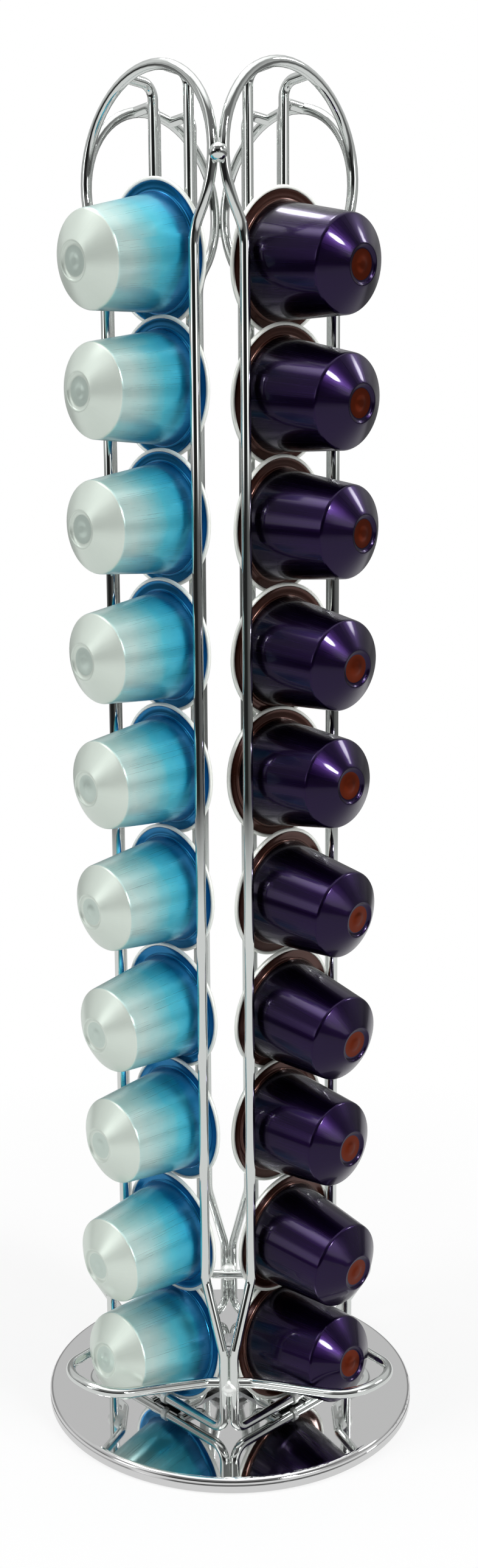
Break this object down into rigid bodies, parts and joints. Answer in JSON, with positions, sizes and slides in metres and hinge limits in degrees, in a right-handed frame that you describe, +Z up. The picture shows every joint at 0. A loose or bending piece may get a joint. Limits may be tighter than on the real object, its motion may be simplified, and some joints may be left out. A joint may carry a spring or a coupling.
{
  "type": "coffee capsule dispenser",
  "caption": "Turning wire tower with four open columns on a round base; capsules drop in at the arches and come out at the foot.",
  "frame": {"origin": "middle of the foot, on the surface that it stands on", "axes": "+Z up along the turning axis; the four columns face +X, +Y, -X and -Y"},
  "size_m": [0.119, 0.119, 0.3773],
  "materials": {
    "chromed_wire": "bright chrome plate",
    "polished_disc": "mirror polish",
    "foot_rubber": "matt",
    "hub_steel": "bright chrome plate",
    "fastener_steel": "bright zinc plate",
    "bearing_nylon": "natural",
    "blue_foil": "satin anodised, silver to deep blue",
    "purple_foil": "glossy anodised, dark purple",
    "lid_foil": "satin foil",
    "ground_coffee": "loose grounds"
  },
  "bodies": {
    "base": {"base_disc": "polished_disc", "foot_ring": "foot_rubber", "pivot_bolt": "fastener_steel", "lock_nut": "fastener_steel", "top_washer": "fastener_steel", "glide_washer": "bearing_nylon"},
    "tower": {"bar_collars": "chromed_wire", "bush": "bearing_nylon", "capsule_front_left_02": "blue_foil", "capsule_front_left_03": "blue_foil", "capsule_front_left_04": "blue_foil", "capsule_front_left_05": "blue_foil", "capsule_front_left_06": "blue_foil", "capsule_front_left_07": "blue_foil", "capsule_front_left_08": "blue_foil", "capsule_front_left_09": "blue_foil", "capsule_front_left_10": "blue_foil", "capsule_front_right_02": "purple_foil", "capsule_front_right_03": "purple_foil", "capsule_front_right_04": "purple_foil", "capsule_front_right_05": "purple_foil", "capsule_front_right_06": "purple_foil", "capsule_front_right_07": "purple_foil", "capsule_front_right_08": "purple_foil", "capsule_front_right_09": "purple_foil", "capsule_front_right_10": "purple_foil", "catcher_ring": "chromed_wire", "corner_balls": "chromed_wire", "corner_welds": "chromed_wire", "front_loop_front_left": "chromed_wire", "front_loop_front_right": "chromed_wire", "front_loop_rear_left": "chromed_wire", "front_loop_rear_right": "chromed_wire", "hub_cross": "hub_steel", "inner_rod_front_left_left": "chromed_wire", "inner_rod_front_left_right": "chromed_wire", "inner_rod_front_right_left": "chromed_wire", "inner_rod_front_right_right": "chromed_wire", "inner_rod_rear_left_left": "chromed_wire", "inner_rod_rear_left_right": "chromed_wire", "inner_rod_rear_right_left": "chromed_wire", "inner_rod_rear_right_right": "chromed_wire", "stack_fillings_front_left": "ground_coffee", "stack_fillings_front_right": "ground_coffee", "stack_lids_front_left": "lid_foil", "stack_lids_front_right": "lid_foil"},
    "top_capsule_left": {"capsule_front_left_01": "blue_foil", "top_lid_front_left": "lid_foil", "top_filling_front_left": "ground_coffee"},
    "top_capsule_right": {"capsule_front_right_01": "purple_foil", "top_lid_front_right": "lid_foil", "top_filling_front_right": "ground_coffee"}
  },
  "joints": [
    {"name": "tower_spin", "type": "hinge", "parent": "base", "child": "tower", "pos_m": [0, 0, 0], "axis": [0, 0, 1], "continuous": true},
    {"name": "top_capsule_left_lift", "type": "slide", "parent": "tower", "child": "top_capsule_left", "axis": [0, 0, 1], "range_m": [0, 0.018]},
    {"name": "top_capsule_right_lift", "type": "slide", "parent": "tower", "child": "top_capsule_right", "axis": [0, 0, 1], "range_m": [0, 0.018]}
  ]
}
